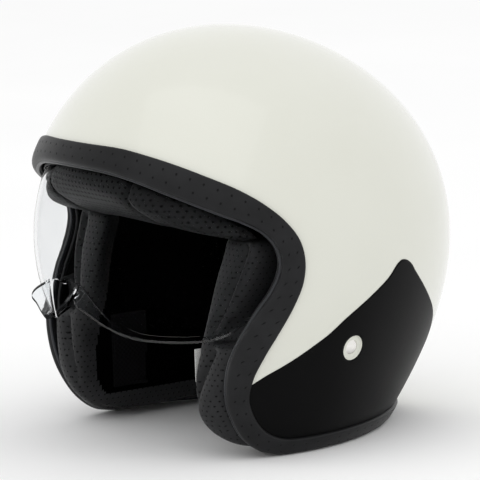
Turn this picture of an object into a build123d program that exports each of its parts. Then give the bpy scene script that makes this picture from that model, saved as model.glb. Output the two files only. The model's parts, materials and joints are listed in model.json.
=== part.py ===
from build123d import *
import math
import os
import numpy as np

os.makedirs("parts", exist_ok=True)

# Open face (jet) motorcycle helmet, medium size, millimetres.
# Part frame: +Z up, the wearer faces -Y, the wearer's left is +X. The origin
# lies on the resting plane (the underside of the edge trim), centred in X and Y.

# ------------------------------------------------------------------ dimensions
HALF_WIDTH = 125.0        # shell half width at its widest
SHELL_T = 3.5             # composite shell thickness
LINER_OUT = 4.2           # depth of the foam liner's outer face
LINER_IN = 33.0           # depth of the foam liner's inner face
COMFORT_IN = 41.0         # depth of the crown comfort pad's inner face
TRIM_OUT = 2.2            # edge trim standing proud of the shell
TRIM_IN = 5.6             # edge trim's inner lip depth
CHEEK_IN = 46.0           # depth of the cheek pad's inner face
PIVOT_Y, PIVOT_Z = -5.0, 15.0    # visor pivot axis, in the shell's own frame
VISOR_R = 105.0           # visor section radius
VISOR_C = 9.5             # visor section centre, off the pivot axis
VISOR_T = 2.0             # visor thickness
VISOR_LOW, VISOR_TOP = -44.0, 44.0   # visor sector about its pivot, degrees
VISOR_OPEN = 36.0         # visor travel, degrees
RIVET_Y, RIVET_Z = 11.8, -45.0   # strap rivet, in the shell's own frame
DIMPLE_R = 7.6            # radius of the dished seat around the rivet
RIVET_R = 4.6             # rivet head radius
STRAP_W, STRAP_T = 24.0, 1.8     # chin strap webbing
PLANE_Z = -109.0          # resting plane in the shell's own frame
SHIFT_Y = -13.75          # moves the shell's own frame so that the box is centred
SHIFT = np.array([0.0, SHIFT_Y, -PLANE_Z])


def at(x, y, z):
    """A point of the shell's own frame, in the part frame."""
    return (float(x), float(y + SHIFT[1]), float(z + SHIFT[2]))


# --------------------------------------------------------------- shell surface
# Superellipsoid-like egg: half lengths front, rear, top, bottom and its blends.
EGG = (139.625, 143.248, 143.397, 181.626, 1.294, -3.409, 0.06331, -0.10148, 0.06886)


def egg(d):
    bf, br, ct, cb, ad, ae, k1, pz, q = EGG
    x, y, z = d[..., 0], d[..., 1], d[..., 2]
    b = (bf + br) / 2 + (br - bf) / 2 * y
    c = (ct + cb) / 2 + (ct - cb) / 2 * z
    aa = HALF_WIDTH + ad * z + ae * y
    p = 2 + pz
    e = 0.12

    def g(t):
        return ((t * t + e * e) ** (p / 2) - e**p) / ((1 + e * e) ** (p / 2) - e**p)

    v = g(x) / aa**p + g(y) / b**p + g(z) / c**p
    return v ** (-1 / p) * (1 + k1 * y * z + q * (y * y - z * z) * y)


def field(pt):
    n = np.linalg.norm(pt, axis=-1)
    return n - egg(pt / n[..., None])


def normals(pt, e=0.3):
    g = np.stack([field(pt + e * np.eye(3)[k]) - field(pt - e * np.eye(3)[k]) for k in range(3)], -1)
    return g / np.linalg.norm(g, axis=-1)[..., None]


# The surface is sampled by rays from a point low in the face opening, so that
# the poles of the grid fall in the opening.
EYE = np.array([0.0, -95.0, -75.0])


def outer(a, b):
    u = np.stack([np.sin(a), np.cos(a) * np.cos(b), np.cos(a) * np.sin(b)], -1)
    lo, hi = np.zeros(u.shape[:-1]), np.full(u.shape[:-1], 400.0)
    for _ in range(50):
        m = (lo + hi) / 2
        inside = field(EYE + u * m[..., None]) < 0
        lo, hi = np.where(inside, m, lo), np.where(inside, hi, m)
    return EYE + u * lo[..., None]


def bern(n, t):
    return np.stack([math.comb(n, k) * t**k * (1 - t) ** (n - k) for k in range(n + 1)], -1)


NU, NV = 14, 14
TU = (1 - np.cos(np.pi * np.linspace(0, 1, 45))) / 2
TV = (1 - np.cos(np.pi * np.linspace(0, 1, 49))) / 2
GA, GB = np.meshgrid(np.radians(-73 + 146 * TU), np.radians(-38 + 150 * TV), indexing="ij")
P0 = outer(GA, GB)
N0 = normals(P0)
PU, PV = np.linalg.pinv(bern(NU, TU)), np.linalg.pinv(bern(NV, TV))


def layer(depth):
    q = P0 - N0 * depth + SHIFT
    c = np.einsum("ia,abk,jb->ijk", PU, q, PV)
    return Face.make_bezier_surface([[Vector(*map(float, p)) for p in row] for row in c])


def slab(outer_depth, inner_depth):
    """Closed solid between two depths below the shell's outer surface."""
    fo, fi = layer(outer_depth), layer(inner_depth)
    inner_edges = fi.edges()
    sides = []
    for e in fo.edges():
        c = e.position_at(0.5)
        m = min(inner_edges, key=lambda k: (k.position_at(0.5) - c).length)
        sides.append(Face.make_surface_from_curves(e, m))
    return Solid(Shell(Face.sew_faces([fo, fi] + sides)[0]))


# ------------------------------------------------------------- side profiles
# Edge lines in the YZ plane, from the brow centre down to the cheek's bottom.
T_LINE = [(-107, 83), (-99, 81.5), (-91, 77.8), (-82, 73), (-71, 66.6), (-55, 57), (-44, 48.5),
          (-33, 37), (-26.5, 26), (-24.5, 14), (-26.5, 1), (-33, -13.5), (-41, -27.5), (-49, -42),
          (-54.5, -56), (-55.5, -68), (-51, -80), (-42, -91), (-30, -97), (-17, -98.5)]
F_LINE = [(-115, 71), (-109, 69), (-101, 64.5), (-93, 59), (-82, 52.3), (-69, 45), (-56, 38.5),
          (-46, 31.5), (-40, 22.5), (-38.5, 13), (-41, 4), (-46, -5), (-53.5, -15), (-59.5, -25),
          (-65, -36), (-68.3, -47), (-69, -58), (-67.5, -70), (-62.5, -83), (-53, -97), (-40, -106),
          (-26, -109)]
BIG = 175.0


def resample(line, n=40):
    a = np.array(line, float)
    s = np.r_[0, np.cumsum(np.linalg.norm(np.diff(a, axis=0), axis=1))]
    t = np.linspace(0, s[-1], n)
    return np.stack([np.interp(t, s, a[:, 0]), np.interp(t, s, a[:, 1])], -1)


def between(f, n=17):
    a, b = resample(T_LINE, n), resample(F_LINE, n)
    return [tuple(map(float, p)) for p in a + (b - a) * f]


def pushed(line, d, n=17):
    """Line moved by d towards the helmet's rear and top."""
    a = resample(line, n)
    t = np.gradient(a, axis=0)
    t /= np.linalg.norm(t, axis=1)[:, None]
    nrm = np.stack([-t[:, 1], t[:, 0]], -1)
    return [tuple(map(float, p)) for p in a + nrm * d]


def region(line, rear=BIG, top=BIG):
    """Prism along X of everything behind and above an edge line."""
    p0, p1 = line[0], line[-1]
    spline = Spline(*[at(0, y, z) for y, z in line])
    out = (p0[0] - 30, p0[1] + 22)
    rest = Polyline(*[at(0, y, z) for y, z in (p1, (rear, p1[1]), (rear, top), (-BIG, top), (-BIG, out[1]), out, p0)])
    face = make_face([*spline.edges(), *rest.edges()])
    return extrude(face, BIG, dir=(1, 0, 0), both=True)


def prism(points, x0=-BIG, x1=BIG):
    """Prism along X of a polygon given in (y, z)."""
    face = make_face(Polyline(*[at(x0, y, z) for y, z in points], close=True))
    return extrude(face, x1 - x0, dir=(1, 0, 0))


def disc(x0, x1, r, y, z):
    """Cylinder along X between x0 and x1."""
    return Plane(origin=at(x0, y, z), z_dir=(1 if x1 > x0 else -1, 0, 0)) * Cylinder(
        r, abs(x1 - x0), align=(Align.CENTER, Align.CENTER, Align.MIN))


def mirror_x(shape):
    return mirror(shape, about=Plane.YZ)


def one(shape):
    """The largest solid of a boolean result."""
    return max(shape.solids(), key=lambda s: s.volume)


parts = {}


def add(name, *shapes):
    solids = [s for shape in shapes for s in shape.solids()]
    parts[name] = solids


# ------------------------------------------------------------------ visor sweep
def arc_at(r, sign=1):
    """Three points of the visor section arc of radius r, in (x, distance from the pivot axis)."""
    k = math.sqrt(0.5)
    return (0, VISOR_C + r), (sign * r * k, VISOR_C + r * k), (sign * r, VISOR_C)


def revolve_section(face, a0, a1):
    """Revolves a face of the plane (x, -y from the pivot) from angle a0 to a1, up being positive."""
    axis = Axis(at(0, PIVOT_Y, PIVOT_Z), (-1, 0, 0))
    start = face.rotate(axis, a0)
    return revolve(start, axis, a1 - a0)


def section_face(curves):
    return make_face([e for c in curves for e in c.edges()])


def pt(x, r):
    return at(x, PIVOT_Y - r, PIVOT_Z)


def band(r_out, r_in, side):
    o, i = arc_at(r_out, side), arc_at(r_in, side)
    return section_face([
        ThreePointArc(pt(*o[0]), pt(*o[1]), pt(*o[2])),
        Polyline(pt(*o[2]), pt(side * r_out, 0), pt(side * r_in, 0), pt(*i[2])),
        ThreePointArc(pt(*i[2]), pt(*i[1]), pt(*i[0])),
        Line(pt(*i[0]), pt(*o[0])),
    ])


def beyond(r_in, side):
    """Everything outside the visor's own surface, for the room that it moves in."""
    i = arc_at(r_in, side)
    return section_face([
        ThreePointArc(pt(*i[0]), pt(*i[1]), pt(*i[2])),
        Polyline(pt(*i[2]), pt(side * r_in, 0), pt(side * 140, 0), pt(side * 140, 150), pt(0, 150), pt(*i[0])),
    ])


# Lower edge of the visor, x and height in the shell's own frame, with its arch over the nose.
LIP = [(0, -3.2), (8, -1.8), (15.5, -3.0), (20, -7.6), (25, -15.2), (30, -21.8), (35, -26.8), (41, -30.8), (48.3, -33.6),
       (56, -34.8), (63, -35.2), (72, -35.2), (80, -33.6), (86, -30.4), (92, -25.0), (98, -19.5), (103.4, -15.0)]


def under_lip(drop, x_end):
    """Everything below the visor's lower edge, lowered by drop."""
    line = [(-a, b - drop) for a, b in LIP[:0:-1]] + [(a, b - drop) for a, b in LIP]
    edge = Spline(*[at(x, -160, z) for x, z in line])
    z_end = line[0][1]
    ends = [(x_end, z_end), (x_end, -150), (-x_end, -150), (-x_end, z_end)]
    if x_end > 103.4:
        ends = [(103.4, z_end)] + ends + [(-103.4, z_end)]
    rest = Polyline(*[at(x, -160, z) for x, z in ends])
    return extrude(make_face([*edge.edges(), *rest.edges()]), 155, dir=(0, 1, 0))


low_cut = under_lip(3.5, 145)
sweep_room = [revolve_section(beyond(VISOR_R - VISOR_T - 2.5, s), VISOR_LOW - 3, VISOR_TOP + VISOR_OPEN + 5) - low_cut
              for s in (1, -1)]
pivot_room = [disc(s * (VISOR_R - 6.5), s * 140, 24, PIVOT_Y, PIVOT_Z) for s in (1, -1)]


def cleared(shape):
    for cutter in sweep_room + pivot_room:
        shape = shape - cutter
    return shape


# ------------------------------------------------------------------------ shell
edge_line = between(0.55)
shell = slab(0, SHELL_T) & region(edge_line)

lo, hi = 60.0, 140.0
for _ in range(50):
    mid = (lo + hi) / 2
    lo, hi = (mid, hi) if field(np.array([mid, RIVET_Y, RIVET_Z])) < 0 else (lo, mid)
RIVET_X = lo
RIVET_N = normals(np.array([RIVET_X, RIVET_Y, RIVET_Z]))


def rivet_plane(s, depth):
    """Plane square to the rivet on side s, at a depth below the surface, facing inwards."""
    n = Vector(float(s * RIVET_N[0]), float(RIVET_N[1]), float(RIVET_N[2]))
    return Plane(origin=Vector(*at(s * RIVET_X, RIVET_Y, RIVET_Z)) - n * depth, z_dir=n * -1)


def on_rivet(s, d0, d1, r, r_end=None):
    low = (Align.CENTER, Align.CENTER, Align.MIN)
    if r_end is None:
        return rivet_plane(s, d0) * Cylinder(r, d1 - d0, align=low)
    return rivet_plane(s, d0) * Cone(r, r_end, d1 - d0, align=low)


for s in (1, -1):
    shell = shell - on_rivet(s, -2.0, 1.2, DIMPLE_R + 1.6, DIMPLE_R - 0.6) - on_rivet(s, 0, 8, 2.55)
add("outer_shell", one(shell))

# ------------------------------------------------------------------------- trim
trim = (slab(-TRIM_OUT, TRIM_IN) & region(F_LINE)) - region(T_LINE)
gap = slab(-0.02, SHELL_T + 0.02) & region(pushed(edge_line, -0.05))
add("edge_trim", one(trim - gap))

# ------------------------------------------------------------------------ liner
liner = slab(LINER_OUT, LINER_IN) & region(pushed(T_LINE, 1.5))
cheek_cut = prism([(-140, 24), (-30, 24), (47, 8), (47, -160), (-140, -160)])
brow_cut = prism([(-150, 120), (-104, 77), (-84, 57), (-60, 45), (-40, 30), (-30, 24), (-140, 24), (-190, 60)])
add("eps_liner", one(cleared(liner - cheek_cut - brow_cut)))

crown = slab(LINER_IN + 0.6, COMFORT_IN) & prism(
    [(-80, 62), (-58, 50), (-25, 36), (60, 16), (160, 16), (160, 170), (-80, 170)])
add("crown_pad", one(crown))

neck = slab(LINER_IN + 0.6, LINER_IN + 11) & prism([(50, 12), (165, 12), (165, -104), (50, -104)])
skirt = slab(6.6, LINER_IN + 4) & prism([(50, -97.6), (165, -97.6), (165, -104), (50, -104)])
add("neck_roll", one(neck + skirt))

def biggest(shape):
    return max(shape.solids(), key=lambda q: q.volume)


# ------------------------------------------------------------------ brow padding
BROW = [(-109, 79.5), (-84.3, 56.3), (-60.5, 44.4), (-41, 30), (-38, 24.8), (-45, 24.8), (-62, 29),
        (-80, 36), (-95, 46), (-104, 57), (-110, 70)]
k = (VISOR_R - VISOR_T - 2.5) * math.sqrt(0.5)
spindle = revolve(section_face([
    ThreePointArc(pt(-k, VISOR_C + k), pt(0, VISOR_C + VISOR_R - VISOR_T - 2.5), pt(k, VISOR_C + k)),
    Polyline(pt(k, VISOR_C + k), pt(k, 0), pt(-k, 0), pt(-k, VISOR_C + k))]), Axis(at(0, PIVOT_Y, PIVOT_Z), (-1, 0, 0)), 360)
centre = slab(9, 56) & prism(BROW, -41.5, 41.5)
add("brow_pad_center", biggest(cleared(centre) & spindle))
for s, name in ((1, "left"), (-1, "right")):
    side = slab(9, 45) & prism(BROW, *sorted((s * 42.5, s * 130)))
    add(f"brow_pad_{name}", one(cleared(side)))

# -------------------------------------------------------------------- cheek pads
CHEEK_LINE = [(-43, 24), (-46.5, 12), (-51.5, 0), (-57.5, -18), (-65, -40), (-69.5, -56), (-71.5, -68), (-70.5, -80),
              (-64, -92), (-52, -101), (-38, -105.5)]
PLATE = [(-32, -12), (36, -12), (36, -90), (-28, -90), (-48, -76), (-50, -56), (-42, -34)]
SLOT_Y, SLOT_Z = -26.0, -86.0


def strip(p, q, wide, w=STRAP_W, t=STRAP_T, extra=0.0):
    """Flat run of webbing from p to q, its width along `wide`."""
    p, q = Vector(*at(*p)), Vector(*at(*q))
    d = (q - p).normalized()
    n = d.cross(Vector(*wide)).normalized()
    y = n.cross(d)
    mid = Plane(origin=(p + q) * 0.5, x_dir=d, z_dir=n)
    return mid * Box((q - p).length + 2 * extra, w, t)


def strap_path(s):
    n = Vector(float(s * RIVET_N[0]), float(RIVET_N[1]), float(RIVET_N[2]))
    a = Vector(s * RIVET_X, RIVET_Y, RIVET_Z) - n * 7.1
    return [(a.X, a.Y, a.Z), (s * 97.0, SLOT_Y, SLOT_Z), (s * 64.0, SLOT_Y - 6, SLOT_Z)]


def strap_room(s):
    """Room round the first run of the strap, from its anchor down to the slot."""
    a, b, c = strap_path(s)
    tangent = Vector(*b) - Vector(*a)
    n = Vector(float(s * RIVET_N[0]), float(RIVET_N[1]), float(RIVET_N[2]))
    return strip(a, b, tuple(tangent.cross(n)), w=STRAP_W + 1.2, t=STRAP_T + 1.2, extra=3.5)


for s, name in ((-1, "right"), (1, "left")):
    half = sorted((s * 66, s * 140))
    front = Spline(*[at(half[0], y, z) for y, z in CHEEK_LINE])
    back = Polyline(*[at(half[0], y, z) for y, z in ((-38, -105.5), (45, -105.5), (45, 7.5), (-31, 24), (-43, 24))])
    block = extrude(make_face([*front.edges(), *back.edges()]), half[1] - half[0], dir=(1, 0, 0))
    pad = slab(9.2, CHEEK_IN) & block
    pad = cleared(pad)
    pad = pad - Pos(*at(s * 80, SLOT_Y - 3, SLOT_Z)) * Box(110, STRAP_W + 7, 3.8)
    pad = biggest(pad - strap_room(s))
    pad = biggest(pad - Pos(*at(s * 96, -60, -30)) * Box(28, 20, 15))
    if s > 0:      # the two pads are exact mirror images
        pad = mirror_x(parts["cheek_pad_right"][0])
    add(f"cheek_pad_{name}", pad)
    plate = slab(6.3, 8.6) & prism(PLATE, *half)
    plate = plate - on_rivet(s, 0, 30, 17) - Pos(*at(s * 80, SLOT_Y - 3, SLOT_Z)) * Box(110, STRAP_W + 7, 3.8)
    add(f"cheek_plate_{name}", biggest(plate - strap_room(s)))

# ------------------------------------------------------------------------- visor
# The lip flares outwards from the lower edge: x, width of the flare.
FLARE = [(16.5, 1.0), (18, 5.0), (20, 10.0), (22, 12.0), (25, 10.2), (30, 7.8), (35, 6.4), (41, 5.4), (48.3, 4.7), (56, 4.3), (63, 4.3),
         (72, 4.5), (80, 4.7), (86, 4.2), (90, 1.6)]
LIP_DROP = 0.22          # fall of the lip per unit of flare


def lip_solid(s):
    xs = np.array([a for a, _ in LIP])
    zs = np.array([b for _, b in LIP])
    inner, outer_, low_in, low_out = [], [], [], []
    for x, w in FLARE:
        z = float(np.interp(x, xs, zs))
        r = VISOR_C + math.sqrt((VISOR_R - VISOR_T / 2) ** 2 - x * x)
        y = PIVOT_Y - math.sqrt(r * r - (z - PIVOT_Z) ** 2)
        radial = np.array([0.0, y - PIVOT_Y, z - PIVOT_Z]) / r
        slope = x / math.sqrt(VISOR_R**2 - x * x)
        n = radial + np.array([slope, 0, 0])
        n = n - np.array([0, 0, n[2]]) * 0.8
        n /= np.linalg.norm(n)
        p = np.array([x, y, z])
        q = p + n * (w + 0.9) - np.array([0, 0, LIP_DROP * w])
        up = np.array([0, 0, 1.0])
        for lst, v in ((inner, p + up * 2.6), (low_in, p + up * 0.8), (outer_, q + up * 2.4), (low_out, q + up * 0.8)):
            lst.append(at(s * v[0], v[1], v[2]))
    c = [Spline(*line).edges()[0] for line in (inner, outer_, low_out, low_in)]
    faces = [Face.make_surface_from_curves(c[k], c[(k + 1) % 4]) for k in range(4)]
    for k in (0, -1):
        a, b, d, e = [Vector(*line[k]) for line in (inner, outer_, low_out, low_in)]
        faces.append(Face.make_surface_from_curves(Edge.make_line(a, b), Edge.make_line(e, d)))
    return Solid(Shell(Face.sew_faces(faces)[0]))


wall = [revolve_section(band(VISOR_R, VISOR_R - VISOR_T, s), VISOR_LOW, VISOR_TOP) for s in (1, -1)]
visor = (wall[0] + wall[1]) - under_lip(0, 103.4)
for s in (1, -1):
    visor = visor + disc(s * (VISOR_R - VISOR_T), s * VISOR_R, 15, PIVOT_Y, PIVOT_Z) + lip_solid(s)
for s in (1, -1):
    visor = visor - disc(s * 90, s * 125, 4.05, PIVOT_Y, PIVOT_Z)
add("visor", one(visor))

# ------------------------------------------------------------------ visor pivots
screws = []
for s, name in ((1, "left"), (-1, "right")):
    flange = (slab(SHELL_T + 0.15, SHELL_T + 3.2)) & disc(s * 100, s * 130, 18, PIVOT_Y, PIVOT_Z)
    post = disc(s * (VISOR_R + 0.3), s * 119.5, 9, PIVOT_Y, PIVOT_Z)
    boss = disc(s * (VISOR_R - VISOR_T - 0.4), s * 112, 4.0, PIVOT_Y, PIVOT_Z)
    bore = disc(s * 90, s * 116, 2.0, PIVOT_Y, PIVOT_Z)
    add(f"visor_pivot_base_{name}", one(one(flange) + post + boss - bore))
    head = disc(s * (VISOR_R - VISOR_T - 0.4), s * (VISOR_R - VISOR_T - 2.6), 6.5, PIVOT_Y, PIVOT_Z)
    shank = disc(s * (VISOR_R - VISOR_T - 0.5), s * 115, 2.0, PIVOT_Y, PIVOT_Z)
    screws.append(one(head + shank))
add("visor_pivot_screws", *screws)

# ----------------------------------------------------------------- strap anchors
rivets, washers, tabs = [], [], []
for s in (1, -1):
    dome_r = (RIVET_R**2 + 1.9**2) / (2 * 1.9)
    low = (Align.CENTER, Align.CENTER, Align.MIN)
    ball = rivet_plane(s, 1.2 - 1.9 + dome_r) * Sphere(dome_r)
    head = ball & on_rivet(s, -3, 1.2, RIVET_R)
    rivets.append(one(head + on_rivet(s, 0.8, 8.0, 2.5) + on_rivet(s, 7.0, 8.0, 4.2)))
    washers.append(one(on_rivet(s, 3.75, 4.7, 7.5) - on_rivet(s, 3, 9, 2.55)))
    tabs.append(one(on_rivet(s, 4.75, 6.1, 12.5) - on_rivet(s, 3, 9, 2.55)))
add("strap_rivets", *rivets)
add("rivet_washers", *washers)
add("strap_anchor_plates", *tabs)

# ------------------------------------------------------------------------ straps


RING_Y, RING_X = SLOT_Y - 6, 64.0
LOOP_Z = -42.0
for s, name in ((1, "left"), (-1, "right")):
    a, b, c = strap_path(s)
    tangent = Vector(*b) - Vector(*a)
    n = Vector(float(s * RIVET_N[0]), float(RIVET_N[1]), float(RIVET_N[2]))
    side = tangent.cross(n)
    run_a = strip(a, b, tuple(side), extra=0.9)
    start = Vector(*a) + tangent.normalized() * 11.0
    run_a = strip(tuple(start), b, tuple(side), extra=0.9)
    run_b = strip(b, c, (0, 1, 0), extra=0.9)
    run_c = strip((s * RING_X, RING_Y, SLOT_Z), (s * RING_X, RING_Y, LOOP_Z), (0, 1, 0), extra=0.9)
    pieces = run_a + run_b + run_c
    if s > 0:
        # loop round the bars of both rings, sewn down below them
        x0 = RING_X - STRAP_T / 2
        block = Pos(*at(x0 - 2.95, RING_Y, LOOP_Z - 5)) * Box(5.9, STRAP_W, 16)
        slot = Pos(*at(x0 - 2.05, RING_Y, LOOP_Z - 2.0)) * Box(4.1, STRAP_W + 2, 8.6)
        pieces = pieces + block - slot
    else:
        fold = Pos(*at(s * (RING_X - 2.6), RING_Y, LOOP_Z - 12)) * Box(STRAP_T, STRAP_W, 26)
        bridge = Pos(*at(s * (RING_X - 1.3), RING_Y, LOOP_Z + 0.4)) * Box(4.4, STRAP_W, 1.8)
        pieces = pieces + fold + bridge
    add(f"strap_{name}", one(pieces))

# ------------------------------------------------------------------------- rings
WIRE = 1.75


def d_ring(x, y, z, r, leg):
    """D-shaped ring hanging from a straight bar along Y at (x, z)."""
    bar = Pos(*at(x, y, z)) * Rot(90, 0, 0) * Cylinder(WIRE, 2 * r)
    shape = bar
    for e in (-1, 1):
        shape = shape + Pos(*at(x, y + e * r, z)) * Sphere(WIRE)
        shape = shape + Pos(*at(x, y + e * r, z - leg / 2)) * Cylinder(WIRE, leg)
    profile = Plane(origin=at(x, y + r, z - leg), x_dir=(0, 1, 0), z_dir=(0, 0, 1)) * Circle(WIRE)
    bow = revolve(profile, Axis(at(x, y, z - leg), (-1, 0, 0)), 180)
    return one(shape + bow)


BAR_X = RING_X - STRAP_T / 2 - 2.05
BAR_Z1, BAR_Z2 = LOOP_Z + 0.15, LOOP_Z - 4.15
add("d_ring_large", d_ring(BAR_X, RING_Y, BAR_Z1, 18.6, 10.4))
add("d_ring_small", d_ring(BAR_X, RING_Y, BAR_Z2, 14.3, 6.0))

# ------------------------------------------------------------------------- label
add("strap_label", Pos(*at(65.2, -61.8, -52)) * Box(0.5, 12, 20))

# ------------------------------------------------------------------------- write
for name, solids in parts.items():
    export_step(solids[0] if len(solids) == 1 else Compound(solids), f"parts/{name}.step")
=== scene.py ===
import json
import math

import bmesh
import bpy
import numpy as np
from mathutils import Matrix, Vector


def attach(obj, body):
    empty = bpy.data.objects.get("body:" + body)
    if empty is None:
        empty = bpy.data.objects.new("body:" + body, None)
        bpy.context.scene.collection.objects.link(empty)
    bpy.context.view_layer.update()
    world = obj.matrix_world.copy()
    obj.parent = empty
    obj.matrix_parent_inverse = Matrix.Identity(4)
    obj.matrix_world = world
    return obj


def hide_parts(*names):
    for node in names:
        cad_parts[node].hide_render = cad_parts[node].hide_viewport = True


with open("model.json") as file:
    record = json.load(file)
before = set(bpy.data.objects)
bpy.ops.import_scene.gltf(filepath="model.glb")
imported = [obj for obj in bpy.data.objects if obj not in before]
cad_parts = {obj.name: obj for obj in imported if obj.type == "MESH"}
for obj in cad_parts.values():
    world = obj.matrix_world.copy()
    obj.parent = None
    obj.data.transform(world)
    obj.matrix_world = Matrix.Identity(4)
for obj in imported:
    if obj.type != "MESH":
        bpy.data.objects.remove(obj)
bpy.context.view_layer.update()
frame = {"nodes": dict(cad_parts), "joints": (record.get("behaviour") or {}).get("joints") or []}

nodes = frame["nodes"]
scene = bpy.context.scene
PIVOT = [j for j in frame["joints"] if j["name"] == "visor_hinge"][0]["pos_m"]
SHIFT = np.array([0.0, PIVOT[1] * 1000 + 5.0, PIVOT[2] * 1000 - 15.0])   # shell's own frame to the part frame, mm

# ------------------------------------------------------------- shell surface
HALF_WIDTH = 125.0
EGG = (139.625, 143.248, 143.397, 181.626, 1.294, -3.409, 0.06331, -0.10148, 0.06886)


def egg(d):
    bf, br, ct, cb, ad, ae, k1, pz, q = EGG
    x, y, z = d[..., 0], d[..., 1], d[..., 2]
    b = (bf + br) / 2 + (br - bf) / 2 * y
    c = (ct + cb) / 2 + (ct - cb) / 2 * z
    aa = HALF_WIDTH + ad * z + ae * y
    p = 2 + pz
    e = 0.12

    def g(t):
        return ((t * t + e * e) ** (p / 2) - e**p) / ((1 + e * e) ** (p / 2) - e**p)

    v = g(x) / aa**p + g(y) / b**p + g(z) / c**p
    return v ** (-1 / p) * (1 + k1 * y * z + q * (y * y - z * z) * y)


def field(pt):
    n = np.linalg.norm(pt, axis=-1)
    return n - egg(pt / n[..., None])


def normals(pt, e=0.3):
    g = np.stack([field(pt + e * np.eye(3)[k]) - field(pt - e * np.eye(3)[k]) for k in range(3)], -1)
    return g / np.linalg.norm(g, axis=-1)[..., None]


def x_on_shell(y, z):
    """Half width of the shell at (y, z), 0 where the point lies outside it."""
    y, z = np.asarray(y, float), np.asarray(z, float)
    lo, hi = np.zeros(y.shape), np.full(y.shape, 160.0)
    for _ in range(44):
        m = (lo + hi) / 2
        inside = field(np.stack([m + 1e-6, y, z], -1)) < 0
        lo, hi = np.where(inside, m, lo), np.where(inside, hi, m)
    return lo


def spline(points, u):
    """Catmull-Rom curve through points at parameters u in 0..1 by chord length."""
    p = np.array(points, float)
    t = np.r_[0, np.cumsum(np.linalg.norm(np.diff(p, axis=0), axis=1))]
    t /= t[-1]
    m = np.gradient(p, t, axis=0)
    u = np.clip(np.asarray(u, float), 0, 1)
    k = np.clip(np.searchsorted(t, u, side="right") - 1, 0, len(t) - 2)
    h = (t[k + 1] - t[k])[..., None]
    s = ((u - t[k]) / (t[k + 1] - t[k]))[..., None]
    return ((2 * s**3 - 3 * s**2 + 1) * p[k] + (s**3 - 2 * s**2 + s) * h * m[k]
            + (-2 * s**3 + 3 * s**2) * p[k + 1] + (s**3 - s**2) * h * m[k + 1])


# ------------------------------------------------------------------- helpers
def mesh_object(name, verts, faces, body="helmet", smooth=True, uv=None):
    me = bpy.data.meshes.new(name)
    me.from_pydata([tuple(map(float, v)) for v in verts], [], [tuple(map(int, f)) for f in faces])
    bm = bmesh.new()
    bm.from_mesh(me)
    bmesh.ops.recalc_face_normals(bm, faces=bm.faces)
    bm.to_mesh(me)
    bm.free()
    me.update()
    if uv is not None:
        layer = me.uv_layers.new(name="UVMap")
        idx = np.zeros(len(me.loops), int)
        me.loops.foreach_get("vertex_index", idx)
        layer.data.foreach_set("uv", np.asarray(uv, np.float32)[idx].ravel())
    ob = bpy.data.objects.new(name, me)
    scene.collection.objects.link(ob)
    if smooth:
        me.polygons.foreach_set("use_smooth", [True] * len(me.polygons))
    if body:
        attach(ob, body)
    return ob


def to_part(p):
    """Shell-frame millimetres to part-frame metres."""
    return (np.asarray(p, float) + SHIFT) / 1000.0


def grid_faces(rows, cols, wrap_r=False, wrap_c=False):
    f = []
    for i in range(rows if wrap_r else rows - 1):
        for j in range(cols if wrap_c else cols - 1):
            a, b = i * cols + j, i * cols + (j + 1) % cols
            c, d = ((i + 1) % rows) * cols + (j + 1) % cols, ((i + 1) % rows) * cols + j
            f.append((a, b, c, d))
    return f


def put_material(ob, mat):
    ob.data.materials.clear()
    ob.data.materials.append(mat)


def tube(name, pts, radius, mat, body="helmet", closed=False, segs=10):
    """Round cord, as a mesh, along smooth points given in the part frame, metres."""
    p = np.asarray(pts, float)
    n = len(p)
    t = np.gradient(p, axis=0)
    if closed:
        t = np.roll(p, -1, 0) - np.roll(p, 1, 0)
    t /= np.linalg.norm(t, axis=1)[:, None]
    u = np.cross(t[0], [0.3, 0.2, 0.9])
    u /= np.linalg.norm(u)
    rings = []
    r = np.broadcast_to(np.asarray(radius, float), (n,))
    for k in range(n):
        u = u - t[k] * np.dot(u, t[k])
        u /= np.linalg.norm(u)
        w = np.cross(t[k], u)
        a = np.linspace(0, 2 * np.pi, segs, endpoint=False)
        rings.append(p[k] + r[k] * (np.cos(a)[:, None] * u + np.sin(a)[:, None] * w))
    v = np.concatenate(rings)
    f = grid_faces(n, segs, wrap_r=closed, wrap_c=True)
    if not closed:
        f += [tuple(range(segs))[::-1], tuple(range((n - 1) * segs, n * segs))]
    ob = mesh_object(name, v, f, body)
    put_material(ob, mat)
    return ob


# ----------------------------------------------------------------- materials
def new_mat(name):
    m = bpy.data.materials.new(name)
    m.use_nodes = True
    nt = m.node_tree
    return m, nt, nt.nodes["Principled BSDF"]


def node(nt, kind, **props):
    n = nt.nodes.new(kind)
    for k, v in props.items():
        setattr(n, k, v)
    return n


def math_node(nt, op, a, b=None, clamp=False):
    n = node(nt, "ShaderNodeMath", operation=op, use_clamp=clamp)
    for k, v in enumerate((a, b)):
        if v is None:
            continue
        if isinstance(v, (int, float)):
            n.inputs[k].default_value = v
        else:
            nt.links.new(v, n.inputs[k])
    return n.outputs[0]


def ramp(nt, fac, stops):
    n = node(nt, "ShaderNodeValToRGB")
    while len(n.color_ramp.elements) < len(stops):
        n.color_ramp.elements.new(0.5)
    for e, (p, c) in zip(n.color_ramp.elements, stops):
        e.position = p
        e.color = (*c, 1) if len(c) == 3 else c
    nt.links.new(fac, n.inputs[0])
    return n.outputs[0]


def noise(nt, vec, scale, detail=4.0, rough=0.5):
    n = node(nt, "ShaderNodeTexNoise")
    n.inputs["Scale"].default_value = scale
    n.inputs["Detail"].default_value = detail
    n.inputs["Roughness"].default_value = rough
    nt.links.new(vec, n.inputs["Vector"])
    return n.outputs["Fac"]


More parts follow.
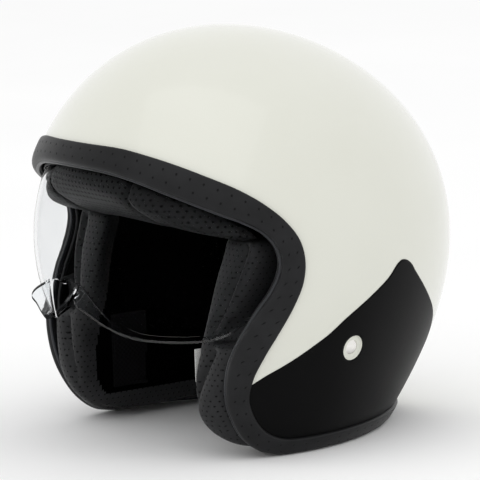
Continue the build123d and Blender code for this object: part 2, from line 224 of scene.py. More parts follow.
def bump(nt, height, strength, distance, base=None):
    n = node(nt, "ShaderNodeBump")
    n.inputs["Strength"].default_value = strength
    n.inputs["Distance"].default_value = distance
    nt.links.new(height, n.inputs["Height"])
    if base is not None:
        nt.links.new(base, n.inputs["Normal"])
    return n.outputs[0]


def coords(nt):
    return node(nt, "ShaderNodeTexCoord")


def mix_color(nt, fac, a, b):
    n = node(nt, "ShaderNodeMix", data_type="RGBA")
    nt.links.new(fac, n.inputs[0])
    for sock, v in ((n.inputs[6], a), (n.inputs[7], b)):
        if isinstance(v, tuple):
            sock.default_value = (*v, 1)
        else:
            nt.links.new(v, sock)
    return n.outputs[2]


def holes_mask(nt, uv, pitch_u, pitch_v, radius, stagger=True):
    """1 inside round holes on a staggered grid, from a UV in metres."""
    sep = node(nt, "ShaderNodeSeparateXYZ")
    nt.links.new(uv, sep.inputs[0])
    v = math_node(nt, "DIVIDE", sep.outputs[1], pitch_v)
    row = math_node(nt, "FLOOR", v)
    fv = math_node(nt, "SUBTRACT", math_node(nt, "SUBTRACT", v, row), 0.5)
    odd = math_node(nt, "MULTIPLY", math_node(nt, "MODULO", math_node(nt, "ADD", row, 2000.0), 2.0), 0.5 if stagger else 0.0)
    u = math_node(nt, "ADD", math_node(nt, "DIVIDE", sep.outputs[0], pitch_u), odd)
    fu = math_node(nt, "SUBTRACT", math_node(nt, "FRACT", u), 0.5)
    du = math_node(nt, "MULTIPLY", fu, pitch_u)
    dv = math_node(nt, "MULTIPLY", fv, pitch_v)
    d = math_node(nt, "SQRT", math_node(nt, "ADD", math_node(nt, "MULTIPLY", du, du), math_node(nt, "MULTIPLY", dv, dv)))
    # smooth step from the hole's rim
    return math_node(nt, "SUBTRACT", 1.0, math_node(nt, "DIVIDE", math_node(nt, "SUBTRACT", d, radius * 0.7), radius * 0.6), clamp=True)


def pearl():
    m, nt, b = new_mat("pearl_white")
    obj = coords(nt).outputs["Object"]
    big = noise(nt, obj, 9.0, 3.0, 0.5)
    fine = noise(nt, obj, 2600.0, 2.0, 0.6)
    peel = noise(nt, obj, 260.0, 2.0, 0.5)
    tone = ramp(nt, big, [(0.3, (0.655, 0.660, 0.585)), (0.7, (0.685, 0.690, 0.620))])
    flake = ramp(nt, fine, [(0.55, (0.0, 0.0, 0.0)), (0.75, (1.0, 1.0, 1.0))])
    sep = node(nt, "ShaderNodeSeparateColor")
    nt.links.new(flake, sep.inputs[0])
    col = mix_color(nt, math_node(nt, "MULTIPLY", sep.outputs[0], 0.25), tone, (0.80, 0.80, 0.75))
    nt.links.new(col, b.inputs["Base Color"])
    rough = math_node(nt, "ADD", math_node(nt, "MULTIPLY", fine, 0.06), 0.33)
    nt.links.new(rough, b.inputs["Roughness"])
    b.inputs["Metallic"].default_value = 0.0
    b.inputs["Coat Weight"].default_value = 1.0
    b.inputs["Coat Roughness"].default_value = 0.11
    b.inputs["Coat IOR"].default_value = 1.5
    nt.links.new(bump(nt, peel, 0.02, 0.0004), b.inputs["Coat Normal"])
    return m


def satin_black():
    m, nt, b = new_mat("panel_satin_black")
    obj = coords(nt).outputs["Object"]
    n1 = noise(nt, obj, 18.0, 3.0)
    n2 = noise(nt, obj, 1400.0, 2.0)
    nt.links.new(ramp(nt, n1, [(0.3, (0.0015, 0.0015, 0.0016)), (0.7, (0.0026, 0.0026, 0.0028))]), b.inputs["Base Color"])
    nt.links.new(math_node(nt, "ADD", math_node(nt, "MULTIPLY", n2, 0.10), 0.36), b.inputs["Roughness"])
    b.inputs["Specular IOR Level"].default_value = 0.055
    nt.links.new(bump(nt, n2, 0.12, 0.0001), b.inputs["Normal"])
    return m


def leather(name, tone=(0.022, 0.0225, 0.024), rough=0.48, holes=None, grain=900.0, spec=0.4, depth=0.00022, hole_dark=0.25):
    m, nt, b = new_mat(name)
    tc = coords(nt)
    obj = tc.outputs["Object"]
    vor = node(nt, "ShaderNodeTexVoronoi", feature="DISTANCE_TO_EDGE")
    vor.inputs["Scale"].default_value = grain
    warp = node(nt, "ShaderNodeVectorMath", operation="ADD")
    wn = node(nt, "ShaderNodeTexNoise")
    wn.inputs["Scale"].default_value = grain * 0.6
    nt.links.new(obj, wn.inputs["Vector"])
    sc = node(nt, "ShaderNodeVectorMath", operation="SCALE")
    sc.inputs["Scale"].default_value = 0.0009
    nt.links.new(wn.outputs["Color"], sc.inputs[0])
    nt.links.new(obj, warp.inputs[0])
    nt.links.new(sc.outputs[0], warp.inputs[1])
    nt.links.new(warp.outputs[0], vor.inputs["Vector"])
    cells = math_node(nt, "MULTIPLY", vor.outputs["Distance"], 3.0, clamp=True)
    mott = noise(nt, obj, 55.0, 4.0)
    fine = noise(nt, obj, 2200.0, 3.0)
    lo = tuple(c * 0.72 for c in tone)
    hi = tuple(c * 1.3 for c in tone)
    col = ramp(nt, mott, [(0.3, lo), (0.7, hi)])
    height = math_node(nt, "ADD", math_node(nt, "MULTIPLY", cells, 0.5), math_node(nt, "MULTIPLY", fine, 0.35))
    rgh = math_node(nt, "ADD", math_node(nt, "MULTIPLY", mott, 0.16), rough - 0.08)
    nrm = bump(nt, height, 0.16, depth)
    if holes:
        mask = holes_mask(nt, tc.outputs["UV"], *holes)
        # holes darkened by hole_dark: the backing seen through each hole, and painted shade in its depth
        col = mix_color(nt, mask, col, tuple(c * hole_dark for c in tone))
        rgh = math_node(nt, "ADD", rgh, math_node(nt, "MULTIPLY", mask, 0.4), clamp=True)
        inv = math_node(nt, "SUBTRACT", 1.0, mask)
        nrm = bump(nt, inv, 0.9, holes[2] * 0.9, nrm)
    nt.links.new(col, b.inputs["Base Color"])
    nt.links.new(rgh, b.inputs["Roughness"])
    nt.links.new(nrm, b.inputs["Normal"])
    b.inputs["Specular IOR Level"].default_value = spec
    return m


def fabric(name, tone, scale=900.0, rough=0.95, sheen=0.0, spec=0.12, relief=0.4):
    m, nt, b = new_mat(name)
    obj = coords(nt).outputs["Object"]
    sep = node(nt, "ShaderNodeSeparateXYZ")
    nt.links.new(obj, sep.inputs[0])
    wa = math_node(nt, "SINE", math_node(nt, "MULTIPLY", math_node(nt, "ADD", sep.outputs[1], sep.outputs[0]), scale * 6.2832))
    wb = math_node(nt, "SINE", math_node(nt, "MULTIPLY", math_node(nt, "ADD", sep.outputs[2], sep.outputs[0]), scale * 6.2832))
    weave = math_node(nt, "ADD", math_node(nt, "MULTIPLY", math_node(nt, "MULTIPLY", wa, wb), 0.5), 0.5)
    fuzz = noise(nt, obj, 1500.0, 3.0)
    col = ramp(nt, math_node(nt, "MULTIPLY", math_node(nt, "ADD", weave, fuzz), 0.5),
               [(0.25, tuple(c * 0.5 for c in tone)), (0.75, tuple(c * 1.4 for c in tone))])
    nt.links.new(col, b.inputs["Base Color"])
    b.inputs["Roughness"].default_value = rough
    b.inputs["Specular IOR Level"].default_value = spec
    if sheen:
        b.inputs["Sheen Weight"].default_value = sheen
    nt.links.new(bump(nt, weave, relief, 0.0003), b.inputs["Normal"])
    return m


def plastic(name, tone, rough=0.5):
    m, nt, b = new_mat(name)
    obj = coords(nt).outputs["Object"]
    n = noise(nt, obj, 700.0, 3.0)
    nt.links.new(ramp(nt, n, [(0.3, tuple(c * 0.8 for c in tone)), (0.7, tuple(c * 1.2 for c in tone))]), b.inputs["Base Color"])
    nt.links.new(math_node(nt, "ADD", math_node(nt, "MULTIPLY", n, 0.2), rough - 0.1), b.inputs["Roughness"])
    nt.links.new(bump(nt, n, 0.2, 0.0002), b.inputs["Normal"])
    return m


def steel(name, tone=(0.78, 0.77, 0.75), rough=0.12, brushed=0.0):
    m, nt, b = new_mat(name)
    obj = coords(nt).outputs["Object"]
    n = noise(nt, obj, 900.0, 4.0)
    scr = noise(nt, obj, 130.0, 6.0, 0.7)
    nt.links.new(ramp(nt, scr, [(0.3, tuple(c * 0.92 for c in tone)), (0.7, tone)]), b.inputs["Base Color"])
    b.inputs["Metallic"].default_value = 1.0
    nt.links.new(math_node(nt, "ADD", math_node(nt, "MULTIPLY", n, 0.08 + brushed), rough - 0.04), b.inputs["Roughness"])
    return m


def clear_visor(name, ior, lo, hi, rough):
    m, nt, b = new_mat(name)
    obj = coords(nt).outputs["Object"]
    smear = noise(nt, obj, 40.0, 3.0)
    nt.links.new(ramp(nt, smear, [(0.3, lo), (0.7, hi)]), b.inputs["Base Color"])
    nt.links.new(math_node(nt, "MULTIPLY", smear, rough), b.inputs["Roughness"])
    b.inputs["Transmission Weight"].default_value = 1.0
    b.inputs["IOR"].default_value = ior
    return m


MAT = {
    "pearl": pearl(),
    "panel": satin_black(),
    "trim": leather("trim_leatherette", (0.0098, 0.0100, 0.0108), 0.40, (0.0088, 0.0053, 0.00056), grain=1300.0, spec=0.17, hole_dark=0.3),
    "trim_plain": leather("trim_edge", (0.006, 0.0062, 0.0068), 0.36, None, grain=1500.0, spec=0.2),
    # the bead's tone, lighter and bluer than the trim's, is a painted highlight along the fold
    "bead": leather("trim_bead", (0.013, 0.0145, 0.0175), 0.34, None, grain=1800.0, spec=0.35),
    "pad": leather("pad_leatherette", (0.0150, 0.0153, 0.0163), 0.50, (0.0040, 0.0033, 0.00052), grain=1200.0, spec=0.20, hole_dark=0.04),
    "brow": leather("brow_leatherette", (0.0108, 0.0110, 0.0118), 0.50, (0.0040, 0.0033, 0.00066), grain=1200.0, spec=0.16, hole_dark=0.02),
    "pad_plain": leather("pad_piping", (0.015, 0.0155, 0.016), 0.45, None, grain=1400.0, spec=0.25),
    "lining": fabric("lining_fabric", (0.0006, 0.0006, 0.00065), 700.0, 1.0, spec=0.0, relief=0.05),
    "eps": plastic("eps_foam", (0.0025, 0.0025, 0.0027), 0.85),
    "black_plastic": plastic("black_plastic", (0.012, 0.012, 0.012), 0.45),
    "steel": steel("brushed_steel", (0.55, 0.55, 0.56), 0.35, 0.15),
    "polished": steel("polished_steel", (0.86, 0.84, 0.81), 0.10),
    "webbing": fabric("webbing", (0.0035, 0.0035, 0.0038), 320.0, 0.9, spec=0.05),
    "label": fabric("label_fabric", (0.72, 0.72, 0.70), 900.0, 0.8),
    "visor": clear_visor("clear_polycarbonate", 1.02, (0.885, 0.893, 0.898), (0.935, 0.940, 0.943), 0.01),
    # lighter, bluer copy of the visor material for its lip and edges: painted highlight
    "visor_lip": clear_visor("clear_polycarbonate_edge", 1.5, (0.90, 0.93, 0.95), (0.97, 0.98, 0.99), 0.05),
}

# ------------------------------------------------------------ CAD nodes kept
for n, key in {
    "outer_shell": "pearl", "eps_liner": "eps", "cheek_plate_left": "black_plastic", "cheek_plate_right": "black_plastic",
    "visor": "visor", "visor_pivot_base_left": "black_plastic", "visor_pivot_base_right": "black_plastic",
    "visor_pivot_screws": "steel", "strap_rivets": "polished", "rivet_washers": "steel", "strap_anchor_plates": "steel",
    "d_ring_large": "polished", "d_ring_small": "polished", "strap_label": "label", "strap_left": "webbing", "strap_right": "webbing",
    "edge_trim": "trim", "crown_pad": "lining", "neck_roll": "pad", "brow_pad_center": "pad", "brow_pad_left": "pad",
    "brow_pad_right": "pad", "cheek_pad_left": "pad", "cheek_pad_right": "pad",
}.items():
    put_material(nodes[n], MAT[key])

# the visor's flared lip and cut edges get a second copy of the clear material, with a higher IOR and a lighter, bluer
# tint as a painted highlight, so they catch the light more than its thin wall
vis = nodes["visor"]
vis.data.materials.append(MAT["visor_lip"])
vm = vis.data
cen = np.zeros(len(vm.polygons) * 3, np.float32)
nor = np.zeros(len(vm.polygons) * 3, np.float32)
vm.polygons.foreach_get("center", cen)
vm.polygons.foreach_get("normal", nor)
cen, nor = cen.reshape(-1, 3).astype(float) * 1000 - SHIFT, nor.reshape(-1, 3)
vr = np.hypot(cen[:, 1] + 5.0, cen[:, 2] - 15.0)
wall_r = 9.5 + np.sqrt(np.clip(105.0**2 - cen[:, 0] ** 2, 0, None))
radial = np.stack([np.sign(cen[:, 0]) * np.abs(cen[:, 0]) / 105.0,
                   (cen[:, 1] + 5.0) / np.maximum(vr, 1) * np.sqrt(1 - np.clip(cen[:, 0] / 105.0, -1, 1) ** 2),
                   (cen[:, 2] - 15.0) / np.maximum(vr, 1) * np.sqrt(1 - np.clip(cen[:, 0] / 105.0, -1, 1) ** 2)], -1)
face_on = np.abs(np.einsum("ij,ij->i", radial, nor))
is_edge = (face_on < 0.6) | (vr > wall_r + 0.25)
vm.polygons.foreach_set("material_index", is_edge.astype(np.int32))

# ---------------------------------------------------------------- edge trim
T_LINE = [(-107, 83), (-99, 81.5), (-91, 77.8), (-82, 73), (-71, 66.6), (-55, 57), (-44, 48.5),
          (-33, 37), (-26.5, 26), (-24.5, 14), (-26.5, 1), (-33, -13.5), (-41, -27.5), (-49, -42),
          (-54.5, -56), (-55.5, -68), (-51, -80), (-42, -91), (-30, -97), (-17, -98.5)]
F_LINE = [(-115, 71), (-109, 69), (-101, 64.5), (-93, 59), (-82, 52.3), (-69, 45), (-56, 38.5),
          (-46, 31.5), (-40, 22.5), (-38.5, 13), (-41, 4), (-46, -5), (-53.5, -15), (-59.5, -25),
          (-65, -36), (-68.3, -47), (-69, -58), (-67.5, -70), (-62.5, -83), (-53, -97), (-40, -106),
          (-26, -109)]


def rim_line(f, u):
    """Point of the edge line f (0 the trim's outer edge, 1 its fold), u from 0 at the brow to 1 at the jaw, on to 2 at the rear."""
    u = np.asarray(u, float)
    front = spline(T_LINE, u) * (1 - f) + spline(F_LINE, u) * f
    end = spline(T_LINE, 1.0) * (1 - f) + spline(F_LINE, 1.0) * f
    back = np.stack([end[0] + (u - 1) * 190.0, np.full(u.shape, end[1])], -1)
    return np.where((u > 1)[..., None], back, front)


def rim_rows(fs, stations):
    """Structured rows of points on the shell, one per f, from the brow centre to the rear centre."""
    dense = np.linspace(0, 2, 3001)
    rows = []
    mid = None
    for f in [0.5] + list(fs):
        yz = rim_line(f, dense)
        x = x_on_shell(yz[:, 0], yz[:, 1])
        ok = x > 1e-4
        first, last = np.argmax(ok), len(ok) - 1 - np.argmax(ok[::-1])
        seg = dense[first:last + 1]
        pts = np.stack([x[first:last + 1], yz[first:last + 1, 0], yz[first:last + 1, 1]], -1)
        pts[0, 0] = pts[-1, 0] = 0.0
        if mid is None:
            s = np.r_[0, np.cumsum(np.linalg.norm(np.diff(pts, axis=0), axis=1))]
            # density along the mid line by arc length, as a map from station to parameter share
            st = np.interp(np.linspace(0, s[-1], stations), s, seg)
            mid = ((st - seg[0]) / (seg[-1] - seg[0]), s[-1])
            continue
        uu = seg[0] + mid[0] * (seg[-1] - seg[0])
        # even the start and end out in arc length, where the surface turns fast
        q = np.stack([np.interp(uu, seg, pts[:, k]) for k in range(3)], -1)
        rows.append(q)
    return rows, mid[1]


def loop_of(rows):
    """Rows of half loops to rows of full closed loops, mirrored in X."""
    out = []
    for q in rows:
        m = q[1:-1][::-1] * np.array([-1, 1, 1])
        out.append(np.concatenate([q, m]))
    return out


ST = 260
# (share from outer edge to fold, height above the shell's surface in mm)
PROFILE = [(0.00, -0.4), (0.0, 0.6), (0.008, 1.35), (0.03, 1.85), (0.07, 2.1), (0.15, 2.2), (0.30, 2.25), (0.45, 2.25), (0.60, 2.15),
           (0.72, 1.95), (0.82, 1.6), (0.90, 1.0), (0.955, 0.25), (0.985, -0.7), (1.0, -1.8), (1.0, -3.0), (0.99, -4.2), (0.95, -5.2),
           (0.85, -5.6), (0.5, -5.6), (0.2, -5.6), (0.1, -4.6), (0.06, -3.6), (0.02, -2.0)]
rows, half_len = rim_rows([f for f, _ in PROFILE], ST)
loops = []
for q, (f, h) in zip(rows, PROFILE):
    loops.append(q + normals(q) * h)
loops = loop_of(loops)
cols = len(loops[0])
verts = np.concatenate([to_part(q) for q in loops])
s = np.linspace(0, half_len, ST) / 1000
ucoord = np.concatenate([s, 2 * half_len / 1000 - s[1:-1][::-1]])
vs = np.minimum([f if k < 13 else 0.8 for k, (f, _) in enumerate(PROFILE)], 0.79) * 0.0138 - 0.0015
uv = np.stack([np.tile(ucoord, len(PROFILE)), np.repeat(vs, cols)], -1)
trim = mesh_object("edge_trim_leather", verts, grid_faces(len(PROFILE), cols, wrap_r=True, wrap_c=True), uv=uv)
put_material(trim, MAT["trim"])
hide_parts("edge_trim")

# glossy bead along the fold, its tone lighter and bluer than the trim's as a painted highlight, and the thin ridge of
# the liner's edge behind it
bead_rows, _ = rim_rows([0.985, 0.93], ST)
q = bead_rows[0] - normals(bead_rows[0]) * 3.7
bead = tube("trim_inner_bead", to_part(loop_of([q])[0]), 0.00120, MAT["bead"], closed=True, segs=12)
q = bead_rows[1] - normals(bead_rows[1]) * 8.3
welt = tube("liner_edge_welt", to_part(loop_of([q])[0]), 0.0013, MAT["trim_plain"], closed=True, segs=10)

# -------------------------------------------------------------- side panels
PANEL = [(-57.5, -61.5), (-55.5, -60.3), (-47.3, -55.0), (-38.2, -50.3), (-28.6, -45.1), (-18.5, -39.4), (-7.8, -33.3),
         (3.7, -25.6), (16.0, -18.8), (29.6, -11.6), (41.7, -4.6), (49.7, 1.8), (52.8, 3.1), (56.0, 3.1), (62.4, 0.2),
         (68.8, -6.7), (79.0, -16.9), (89.9, -27.6), (98.7, -36.5), (104.2, -44.2), (107.5, -54.0), (109.5, -66.0),
         (110.0, -80.0), (109.0, -99.5)]
RIVET_Y, RIVET_Z = 11.8, -45.0
RIVET_X = float(x_on_shell(RIVET_Y, RIVET_Z))
RIVET = np.array([RIVET_X, RIVET_Y, RIVET_Z])
RIVET_N = normals(RIVET)


def panel_side(side, name):
    """Thin film on the shell below the panel line, with a round hole at the rivet."""
    tline = spline(T_LINE, np.linspace(0.45, 1, 300))
    low = tline[tline[:, 1] < -60]
    bm = bmesh.new()
    top = spline(PANEL, np.linspace(0, 1, 260))
    ys = top[:, 0]
    zt = top[:, 1]
    zl = np.where(ys < low[-1, 0], np.interp(ys, low[:, 0][::-1] if low[0, 0] > low[-1, 0] else low[:, 0],
                                             low[:, 1][::-1] if low[0, 0] > low[-1, 0] else low[:, 1]), -98.5)
    # the trim's edge curls forwards above the jaw corner: clamp to the lower branch
    lb = low[np.argmin(low[:, 0]):]
    zl = np.where(ys < lb[-1, 0], np.interp(ys, lb[:, 0], lb[:, 1]), -98.5) - 1.2
    zl = np.minimum(zl, zt - 0.2)
    n = 60
    t = np.linspace(0, 1, n)
    yy = np.repeat(ys[:, None], n, 1)
    zz = zt[:, None] + (zl - zt)[:, None] * t[None]
    dy, dz = yy - RIVET_Y, zz - RIVET_Z
    xx = x_on_shell(yy, zz)
    p = np.stack([xx, yy, zz], -1)
    nn = normals(p)
    outer_p = p + nn * 0.22
    inner_p = p - nn * 0.15
    rows_n = len(ys)
    vo = to_part(outer_p.reshape(-1, 3) * np.array([side, 1, 1]))
    vi = to_part(inner_p.reshape(-1, 3) * np.array([side, 1, 1]))
    f = grid_faces(rows_n, n)
    # the film is open round the rivet: leave out faces within the seat's radius
    d = np.linalg.norm(p - RIVET, axis=-1).reshape(-1)
    keep = [q for q in f if np.mean(d[list(q)]) > 8.0]
    k = len(vo)
    faces = keep + [tuple(a + k for a in q[::-1]) for q in keep]
    # walls along open edges
    count = {}
    for q in keep:
        for a, b in zip(q, q[1:] + q[:1]):
            e = (min(a, b), max(a, b))
            count.setdefault(e, []).append((a, b))
    for e, lst in count.items():
        if len(lst) == 1:
            a, b = lst[0]
            faces.append((b, a, a + k, b + k))
    verts = np.concatenate([vo, vi])
    # pull the ragged rim of the hole onto a true circle
    rim_edges = {a for e, lst in count.items() if len(lst) == 1 for a in e}
    for a in rim_edges:
        if d[a] < 14:
            pt = p.reshape(-1, 3)[a]
            v = pt - RIVET
            nrm = RIVET_N
            v = v - nrm * np.dot(v, nrm)
            v = v / np.linalg.norm(v) * 7.9
            w = RIVET + v
            w[0] = x_on_shell(w[1], w[2])
            wn = normals(w)
            for idx, h in ((a, 0.22), (a + k, -0.15)):
                verts[idx] = to_part((w + wn * h) * np.array([side, 1, 1]))
    used = sorted({a for q in faces for a in q})
    remap = {a: i for i, a in enumerate(used)}
    ob = mesh_object(name, verts[used], [tuple(remap[a] for a in q) for q in faces])
    put_material(ob, MAT["panel"])
    return ob


panel_side(1, "side_panel_left")
panel_side(-1, "side_panel_right")

# ------------------------------------------------------------------- padding


def soft_mesh(source, name, voxel, mat, smooth=6, crown=0.0, grooves=(), body="helmet", inflate=0.0, extra=(), low=0):
    """A CAD pad remeshed as a soft closed form: rounded, crowned, with sewn channels pressed in."""
    me = nodes[source].data.copy()
    ob = bpy.data.objects.new(name, me)
    scene.collection.objects.link(ob)
    bm = bmesh.new()
    bm.from_mesh(me)
    bmesh.ops.remove_doubles(bm, verts=bm.verts, dist=2e-5)
    for ev, ef in extra:
        nv_ = [bm.verts.new(tuple(map(float, v))) for v in ev]
        nf_ = [bm.faces.new([nv_[int(i)] for i in f]) for f in ef]
        bmesh.ops.recalc_face_normals(bm, faces=nf_)
    bm.to_mesh(me)
    bm.free()
    mod = ob.modifiers.new("r", "REMESH")
    mod.mode = "VOXEL"
    mod.voxel_size = voxel
    dg = bpy.context.evaluated_depsgraph_get()
    dg.update()
    out = bpy.data.meshes.new_from_object(ob.evaluated_get(dg))
    ob.modifiers.clear()
    ob.data = out
    bpy.data.meshes.remove(me)
    nv = len(out.vertices)
    co = np.zeros(nv * 3, np.float64)
    out.vertices.foreach_get("co", co)
    co = co.reshape(-1, 3)
    ed = np.zeros(len(out.edges) * 2, int)
    out.edges.foreach_get("vertices", ed)
    ed = ed.reshape(-1, 2)
    deg = np.zeros(nv)
    np.add.at(deg, ed[:, 0], 1)
    np.add.at(deg, ed[:, 1], 1)

    def lap(v):
        s_ = np.zeros_like(v)
        np.add.at(s_, ed[:, 0], v[ed[:, 1]])
        np.add.at(s_, ed[:, 1], v[ed[:, 0]])
        return s_ / deg[:, None] - v

    def nrm_of(v):
        out.vertices.foreach_set("co", v.ravel())
        out.update()
        n_ = np.zeros(nv * 3, np.float32)
        out.vertex_normals.foreach_get("vector", n_)
        return n_.reshape(-1, 3).astype(float)

    first = co.copy()
    for _ in range(smooth):
        co = co + 0.5 * lap(co)
    # the bottom edge rolls under with a fuller round
    wl = np.clip((0.030 - first[:, 2]) / 0.022, 0, 1)[:, None]
    for _ in range(low):
        co = co + 0.5 * wl * lap(co)
    n0 = nrm_of(co)
    # fullest away from edges and sewn channels
    w = 1.0 - np.clip(np.linalg.norm(co - first, axis=1) / 0.0007, 0, 1)
    dist = []
    for line, width, depth in grooves:
        p = np.asarray(line, float)
        best = np.full(nv, 1e9)
        for a, b in zip(p[:-1], p[1:]):
            ab = b - a
            t_ = np.clip(((co - a) @ ab) / (ab @ ab), 0, 1)
            best = np.minimum(best, np.linalg.norm(co - (a + t_[:, None] * ab), axis=1))
        dist.append(best)
        w = w * (1 - np.exp(-((best / (width * 2.6)) ** 2)))
    for _ in range(14):
        w = w + 0.5 * lap(w[:, None])[:, 0]
    co = co + n0 * (crown * w + inflate)[:, None]
    for (line, width, depth), best in zip(grooves, dist):
        co = co - n0 * (np.exp(-((best / width) ** 2)) * depth)[:, None]
    for _ in range(2):
        co = co + 0.35 * lap(co)
    n1 = nrm_of(co)
    out.vertices.foreach_set("co", co.ravel())
    out.update()
    # box projected UV in metres
    layer = out.uv_layers.new(name="UVMap") if not out.uv_layers else out.uv_layers[0]
    li = np.zeros(len(out.loops), int)
    out.loops.foreach_get("vertex_index", li)
    c, nn = co[li], np.abs(n1[li])
    ax = np.argmax(nn * np.array([1.0, 0.9, 0.8]), axis=1)
    tot = np.zeros(len(out.polygons), int)
    start = np.zeros(len(out.polygons), int)
    out.polygons.foreach_get("loop_total", tot)
    out.polygons.foreach_get("loop_start", start)
    ax = np.repeat(ax[start], tot)
    uvs = np.where((ax == 0)[:, None], c[:, [1, 2]], np.where((ax == 1)[:, None], c[:, [0, 2]], c[:, [0, 1]]))
    layer.data.foreach_set("uv", uvs.astype(np.float32).ravel())
    out.polygons.foreach_set("use_smooth", [True] * len(out.polygons))
    put_material(ob, mat)
    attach(ob, body)
    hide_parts(source)
    return ob


CHEEK_LINE = [(-43, 24), (-46.5, 12), (-51.5, 0), (-57.5, -18), (-65, -40), (-69.5, -56), (-71.5, -68), (-70.5, -80),
              (-64, -92), (-52, -101), (-38, -105.5), (-20, -106), (0, -106), (20, -106), (42, -106)]


def depth_point(y, z, depth):
    """Point at (y, z) that lies depth below the shell along its normal, side +X."""
    lo, hi = 0.0, float(x_on_shell(y, z))
    if hi < 1:
        return None
    surface_n = normals(np.array([hi, y, z]))
    return np.array([hi - depth / max(surface_n[0], 0.5), y, z])


def cheek_block(side):
    """The front roll of a cheek pad below the visor's lip, from the inner face out to the liner, closed."""
    fy, fz = np.array(CHEEK_LINE[:11], float).T
    zs = np.linspace(-47, -104.5, 30)
    yf = np.interp(-zs, -fz, fy)
    n = 14
    t = np.linspace(0, 1, n)
    y = yf[:, None] + (-16.0 - yf)[:, None] * t[None]
    z = np.repeat(zs[:, None], n, 1)
    xo = x_on_shell(y, z) - 11.0
    inner = np.stack([np.full(y.shape, 66.2), y, z], -1).reshape(-1, 3)
    outer = np.stack([np.maximum(xo, 67.0), y, z], -1).reshape(-1, 3)
    v = to_part(np.concatenate([inner, outer]) * np.array([side, 1, 1]))
    r, k = len(zs), len(zs) * n
    f = grid_faces(r, n)
    faces = f + [tuple(a + k for a in q[::-1]) for q in f]
    for i in range(r - 1):
        for j in (0, n - 1):
            a, b = i * n + j, (i + 1) * n + j
            faces.append((a, b, b + k, a + k))
    for j in range(n - 1):
        for i in (0, r - 1):
            a, b = i * n + j, i * n + j + 1
            faces.append((a, b, b + k, a + k))
    return v, faces


def cheek_channel(side, depth):
    out = []
    for y, z in spline(CHEEK_LINE, np.linspace(0, 1, 60)):
        if z > -40:
            continue
        q = depth_point(y, z, depth)
        if q is not None:
            out.append(to_part(q * np.array([side, 1, 1])))
    return out


def upper_channel(side):
    line = spline([(89, -44, 20), (88, -46.5, 12), (86, -51.5, 0), (80.5, -57.5, -18), (76, -61, -28)], np.linspace(0, 1, 30))
    return to_part(line * np.array([side, 1, 1]))


def dark_inner_faces(ob, yz, gap, z_low):
    """The near-black lining material on a cheek pad's inner faces: behind its leatherette front by gap, within 88 mm of
    the middle, and above z_low.
    """
    me = ob.data
    me.materials.append(MAT["lining"])
    c = np.zeros(len(me.polygons) * 3, np.float32)
    me.polygons.foreach_get("center", c)
    c = c.reshape(-1, 3).astype(float) * 1000 - SHIFT
    fy, fz = np.array(yz[:11], float).T
    behind = c[:, 1] > np.interp(-c[:, 2], -fz, fy) + gap
    me.polygons.foreach_set("material_index", (behind & (np.abs(c[:, 0]) < 88) & (c[:, 2] > z_low)).astype(np.int32))


PADS = [("cheek_pad_left", "pad", 0.0016, 0.7, 12, 0.0018, [(cheek_channel(1, 20.5), 0.0024, 0.0060), (upper_channel(1), 0.0022, 0.0045)]),
        ("cheek_pad_right", "pad", 0.0016, 0.7, 12, 0.0018, [(cheek_channel(-1, 20.5), 0.0024, 0.0060), (upper_channel(-1), 0.0022, 0.0045)]),
        ("brow_pad_center", "brow", 0.0016, 0.6, 12, 0.0012, []),
        ("brow_pad_left", "brow", 0.0016, 0.6, 12, 0.0012, []),
        ("brow_pad_right", "brow", 0.0016, 0.6, 12, 0.0012, []),
        ("neck_roll", "pad", 0.0025, 0.7, 10, 0.0010, []),
        ("crown_pad", "lining", 0.0028, 0.4, 6, 0.0005, [])]
for n, key, vox, fill, sm, cr, gr in PADS:
    cheek = n.startswith("cheek")
    ob = soft_mesh(n, n + "_soft", vox, MAT[key], smooth=sm, crown=cr, grooves=gr,
                   extra=[cheek_block(1 if n.endswith("left") else -1)] if cheek else (), low=50 if cheek or n == "neck_roll" else 0)
    if cheek:
        dark_inner_faces(ob, CHEEK_LINE, 15.0, -90.0)
    if n == "neck_roll":
        # perforated leatherette round the bottom roll; faces above 22 mm get the near-black lining material as painted
        # shade, darker where the roll's inner face turns up away from the light
        ob.data.materials.append(MAT["lining"])
        zc = np.zeros(len(ob.data.polygons) * 3, np.float32)
        ob.data.polygons.foreach_get("center", zc)
        ob.data.polygons.foreach_set("material_index", (zc.reshape(-1, 3)[:, 2] > 0.022).astype(np.int32))

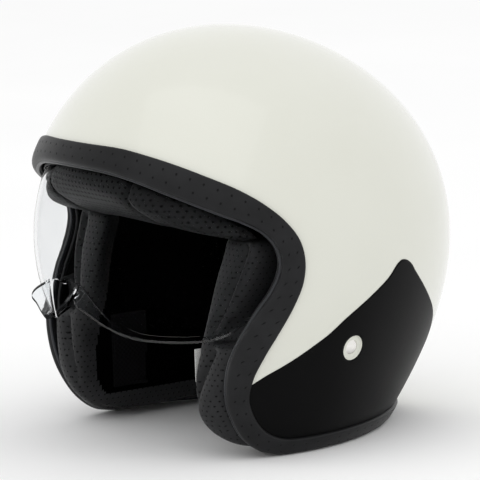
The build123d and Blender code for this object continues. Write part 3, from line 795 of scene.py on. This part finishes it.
# --------------------------------------------------------------------- stage
floor_me = bpy.data.meshes.new("floor")
R = 6.0
floor_me.from_pydata([(-R, -R, 0), (R, -R, 0), (R, R, 0), (-R, R, 0)], [], [(0, 1, 2, 3)])
floor = bpy.data.objects.new("floor", floor_me)
scene.collection.objects.link(floor)
fm, fnt, fb = new_mat("floor_pale")
fn = noise(fnt, coords(fnt).outputs["Object"], 3.0)
fnt.links.new(ramp(fnt, fn, [(0.3, (0.93, 0.93, 0.93)), (0.7, (0.95, 0.95, 0.95))]), fb.inputs["Base Color"])
fb.inputs["Roughness"].default_value = 0.9
fb.inputs["Specular IOR Level"].default_value = 0.0
put_material(floor, fm)

world = bpy.data.worlds.new("studio")
scene.world = world
world.use_nodes = True
bg = world.node_tree.nodes["Background"]
bg.inputs[0].default_value = (1.0, 1.0, 1.0, 1)
bg.inputs[1].default_value = 1.0


def area(name, loc, target, size, power, size_y=None, color=(1, 1, 1)):
    l = bpy.data.lights.new(name, "AREA")
    l.energy = power
    l.color = color
    l.size = size
    if size_y:
        l.shape = "RECTANGLE"
        l.size_y = size_y
    o = bpy.data.objects.new(name, l)
    scene.collection.objects.link(o)
    o.location = loc
    d = Vector(target) - Vector(loc)
    o.rotation_euler = d.to_track_quat("-Z", "Y").to_euler()
    return o


area("key_top", (0.7, -0.9, 2.1), (0, 0, 0.12), 2.6, 9.0)


# -------------------------------------------------------------------- camera
AZ, EL, ROLL = math.radians(55.7896), math.radians(9.4468), math.radians(-2.2179)
back = np.array([math.sin(AZ) * math.cos(EL), -math.cos(AZ) * math.cos(EL), math.sin(EL)])
right = np.array([math.cos(AZ), math.sin(AZ), 0.0])
up = np.cross(back, right)
Rv = math.cos(ROLL) * right + math.sin(ROLL) * up
Uv = -math.sin(ROLL) * right + math.cos(ROLL) * up
cam_data = bpy.data.cameras.new("camera")
cam = bpy.data.objects.new("camera", cam_data)
scene.collection.objects.link(cam)
loc = to_part((2444.596, -1649.283, 499.140))
cam.matrix_world = Matrix(((Rv[0], Uv[0], back[0], loc[0]), (Rv[1], Uv[1], back[1], loc[1]),
                           (Rv[2], Uv[2], back[2], loc[2]), (0, 0, 0, 1)))
cam_data.sensor_width = 36.0
cam_data.lens = 361.28
cam_data.clip_end = 50.0
scene.camera = cam
scene.view_settings.view_transform = "Standard"
